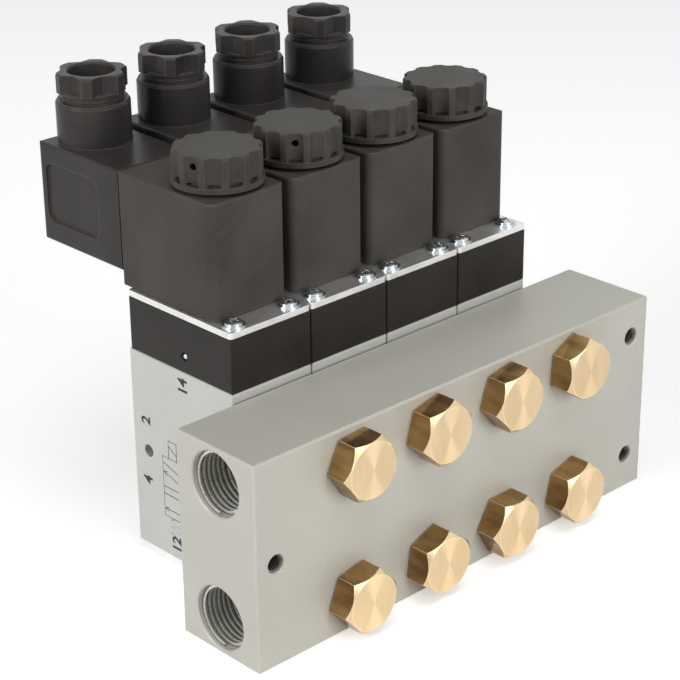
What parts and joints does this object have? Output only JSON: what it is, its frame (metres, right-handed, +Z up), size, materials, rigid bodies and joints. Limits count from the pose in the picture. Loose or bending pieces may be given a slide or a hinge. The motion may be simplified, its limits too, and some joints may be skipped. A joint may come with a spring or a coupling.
{
  "type": "valve manifold",
  "caption": "Bank of solenoid spool valves on an aluminium manifold bar, with hollow screws, coils, fluted caps and cable plugs.",
  "frame": {"origin": "under the middle of the whole bank, at the height of the underside of the manifold bar", "axes": "+X along the bar away from the end with the two large ports, +Y from the hexagon heads towards the plugs, +Z up to the caps"},
  "size_m": [0.178, 0.1406, 0.154],
  "materials": {
    "bar_aluminium": "satin, machined and lightly blasted",
    "body_aluminium": "satin, light grey",
    "plate_aluminium": "plain, cut edges bright",
    "brass": "turned and milled",
    "dark_rubber": "matte",
    "bright_steel": "bright zinc plated",
    "plain_steel": "turned",
    "tinned_blade": "tinned",
    "block_plastic": "matte black",
    "coil_plastic": "matte black moulding",
    "cap_plastic": "satin black moulding",
    "plug_plastic": "half gloss black moulding",
    "grey_plastic": "matte grey moulding"
  },
  "bodies": {
    "bank": {"manifold_bar": "bar_aluminium", "hollow_screws": "brass", "screw_seals": "dark_rubber", "spool_cages": "brass", "spool_seals": "dark_rubber", "end_plugs": "body_aluminium", "pilot_balls": "bright_steel", "solenoid_plates": "plate_aluminium", "plate_screws": "bright_steel", "armature_tubes": "plain_steel", "armature_springs": "plain_steel", "contact_blades": "tinned_blade", "connector_gaskets": "dark_rubber", "connector_inserts": "grey_plastic", "connector_screws": "bright_steel", "gland_seals": "dark_rubber", "valve_body_1": "body_aluminium", "spool_spring_1": "plain_steel", "pilot_block_1": "block_plastic", "coil_1": "coil_plastic", "connector_1": "plug_plastic", "valve_body_2": "body_aluminium", "spool_spring_2": "plain_steel", "pilot_block_2": "block_plastic", "coil_2": "coil_plastic", "connector_2": "plug_plastic", "valve_body_3": "body_aluminium", "spool_spring_3": "plain_steel", "pilot_block_3": "block_plastic", "coil_3": "coil_plastic", "connector_3": "plug_plastic", "valve_body_4": "body_aluminium", "spool_spring_4": "plain_steel", "pilot_block_4": "block_plastic", "coil_4": "coil_plastic", "connector_4": "plug_plastic"},
    "spool_1": {"spool_1": "plate_aluminium"},
    "armature_1": {"armature_1": "plain_steel"},
    "cap_ring_1": {"cap_ring_1": "dark_rubber"},
    "coil_cap_1": {"coil_cap_1": "cap_plastic"},
    "gland_washer_1": {"gland_washer_1": "bright_steel"},
    "gland_nut_1": {"gland_nut_1": "plug_plastic"},
    "spool_2": {"spool_2": "plate_aluminium"},
    "armature_2": {"armature_2": "plain_steel"},
    "cap_ring_2": {"cap_ring_2": "dark_rubber"},
    "coil_cap_2": {"coil_cap_2": "cap_plastic"},
    "gland_washer_2": {"gland_washer_2": "bright_steel"},
    "gland_nut_2": {"gland_nut_2": "plug_plastic"},
    "spool_3": {"spool_3": "plate_aluminium"},
    "armature_3": {"armature_3": "plain_steel"},
    "cap_ring_3": {"cap_ring_3": "dark_rubber"},
    "coil_cap_3": {"coil_cap_3": "cap_plastic"},
    "gland_washer_3": {"gland_washer_3": "bright_steel"},
    "gland_nut_3": {"gland_nut_3": "plug_plastic"},
    "spool_4": {"spool_4": "plate_aluminium"},
    "armature_4": {"armature_4": "plain_steel"},
    "cap_ring_4": {"cap_ring_4": "dark_rubber"},
    "coil_cap_4": {"coil_cap_4": "cap_plastic"},
    "gland_washer_4": {"gland_washer_4": "bright_steel"},
    "gland_nut_4": {"gland_nut_4": "plug_plastic"}
  },
  "joints": [
    {"name": "spool_slide_1", "type": "slide", "parent": "bank", "child": "spool_1", "axis": [0, 0, -1], "range_m": [0, 0.005], "stiffness_N_per_m": 500, "springref_m": -0.006, "deforming": ["spool_spring_1"]},
    {"name": "armature_slide_1", "type": "slide", "parent": "bank", "child": "armature_1", "axis": [0, 0, 1], "range_m": [0, 0.0008], "stiffness_N_per_m": 300, "springref_m": -0.002},
    {"name": "cap_lift_1", "type": "slide", "parent": "bank", "child": "cap_ring_1", "axis": [0, 0, 1], "range_m": [0, 0.006]},
    {"name": "cap_turn_1", "type": "hinge", "parent": "cap_ring_1", "child": "coil_cap_1", "pos_m": [-0.0495, -0.0029, 0.131], "axis": [0, 0, 1], "range_deg": [0, 2160]},
    {"name": "nut_lift_1", "type": "slide", "parent": "bank", "child": "gland_washer_1", "axis": [0, 0, 1], "range_m": [-0.0024, 0.0015]},
    {"name": "nut_turn_1", "type": "hinge", "parent": "gland_washer_1", "child": "gland_nut_1", "pos_m": [-0.0495, 0.0582, 0.1472], "axis": [0, 0, 1], "range_deg": [-576, 360]},
    {"name": "spool_slide_2", "type": "slide", "parent": "bank", "child": "spool_2", "axis": [0, 0, -1], "range_m": [0, 0.005], "stiffness_N_per_m": 500, "springref_m": -0.006, "deforming": ["spool_spring_2"]},
    {"name": "armature_slide_2", "type": "slide", "parent": "bank", "child": "armature_2", "axis": [0, 0, 1], "range_m": [0, 0.0008], "stiffness_N_per_m": 300, "springref_m": -0.002},
    {"name": "cap_lift_2", "type": "slide", "parent": "bank", "child": "cap_ring_2", "axis": [0, 0, 1], "range_m": [0, 0.006]},
    {"name": "cap_turn_2", "type": "hinge", "parent": "cap_ring_2", "child": "coil_cap_2", "pos_m": [-0.0165, -0.0029, 0.131], "axis": [0, 0, 1], "range_deg": [0, 2160]},
    {"name": "nut_lift_2", "type": "slide", "parent": "bank", "child": "gland_washer_2", "axis": [0, 0, 1], "range_m": [-0.0024, 0.0015]},
    {"name": "nut_turn_2", "type": "hinge", "parent": "gland_washer_2", "child": "gland_nut_2", "pos_m": [-0.0165, 0.0582, 0.1472], "axis": [0, 0, 1], "range_deg": [-576, 360]},
    {"name": "spool_slide_3", "type": "slide", "parent": "bank", "child": "spool_3", "axis": [0, 0, -1], "range_m": [0, 0.005], "stiffness_N_per_m": 500, "springref_m": -0.006, "deforming": ["spool_spring_3"]},
    {"name": "armature_slide_3", "type": "slide", "parent": "bank", "child": "armature_3", "axis": [0, 0, 1], "range_m": [0, 0.0008], "stiffness_N_per_m": 300, "springref_m": -0.002},
    {"name": "cap_lift_3", "type": "slide", "parent": "bank", "child": "cap_ring_3", "axis": [0, 0, 1], "range_m": [0, 0.006]},
    {"name": "cap_turn_3", "type": "hinge", "parent": "cap_ring_3", "child": "coil_cap_3", "pos_m": [0.0165, -0.0029, 0.131], "axis": [0, 0, 1], "range_deg": [0, 2160]},
    {"name": "nut_lift_3", "type": "slide", "parent": "bank", "child": "gland_washer_3", "axis": [0, 0, 1], "range_m": [-0.0024, 0.0015]},
    {"name": "nut_turn_3", "type": "hinge", "parent": "gland_washer_3", "child": "gland_nut_3", "pos_m": [0.0165, 0.0582, 0.1472], "axis": [0, 0, 1], "range_deg": [-576, 360]},
    {"name": "spool_slide_4", "type": "slide", "parent": "bank", "child": "spool_4", "axis": [0, 0, -1], "range_m": [0, 0.005], "stiffness_N_per_m": 500, "springref_m": -0.006, "deforming": ["spool_spring_4"]},
    {"name": "armature_slide_4", "type": "slide", "parent": "bank", "child": "armature_4", "axis": [0, 0, 1], "range_m": [0, 0.0008], "stiffness_N_per_m": 300, "springref_m": -0.002},
    {"name": "cap_lift_4", "type": "slide", "parent": "bank", "child": "cap_ring_4", "axis": [0, 0, 1], "range_m": [0, 0.006]},
    {"name": "cap_turn_4", "type": "hinge", "parent": "cap_ring_4", "child": "coil_cap_4", "pos_m": [0.0495, -0.0029, 0.131], "axis": [0, 0, 1], "range_deg": [0, 2160]},
    {"name": "nut_lift_4", "type": "slide", "parent": "bank", "child": "gland_washer_4", "axis": [0, 0, 1], "range_m": [-0.0024, 0.0015]},
    {"name": "nut_turn_4", "type": "hinge", "parent": "gland_washer_4", "child": "gland_nut_4", "pos_m": [0.0495, 0.0582, 0.1472], "axis": [0, 0, 1], "range_deg": [-576, 360]}
  ],
  "couplings": [
    {"joint": "cap_turn_1", "follows": "cap_lift_1", "rad_per_m": 6283.1},
    {"joint": "nut_turn_1", "follows": "nut_lift_1", "rad_per_m": 4188.7},
    {"joint": "cap_turn_2", "follows": "cap_lift_2", "rad_per_m": 6283.1},
    {"joint": "nut_turn_2", "follows": "nut_lift_2", "rad_per_m": 4188.7},
    {"joint": "cap_turn_3", "follows": "cap_lift_3", "rad_per_m": 6283.1},
    {"joint": "nut_turn_3", "follows": "nut_lift_3", "rad_per_m": 4188.7},
    {"joint": "cap_turn_4", "follows": "cap_lift_4", "rad_per_m": 6283.1},
    {"joint": "nut_turn_4", "follows": "nut_lift_4", "rad_per_m": 4188.7}
  ]
}
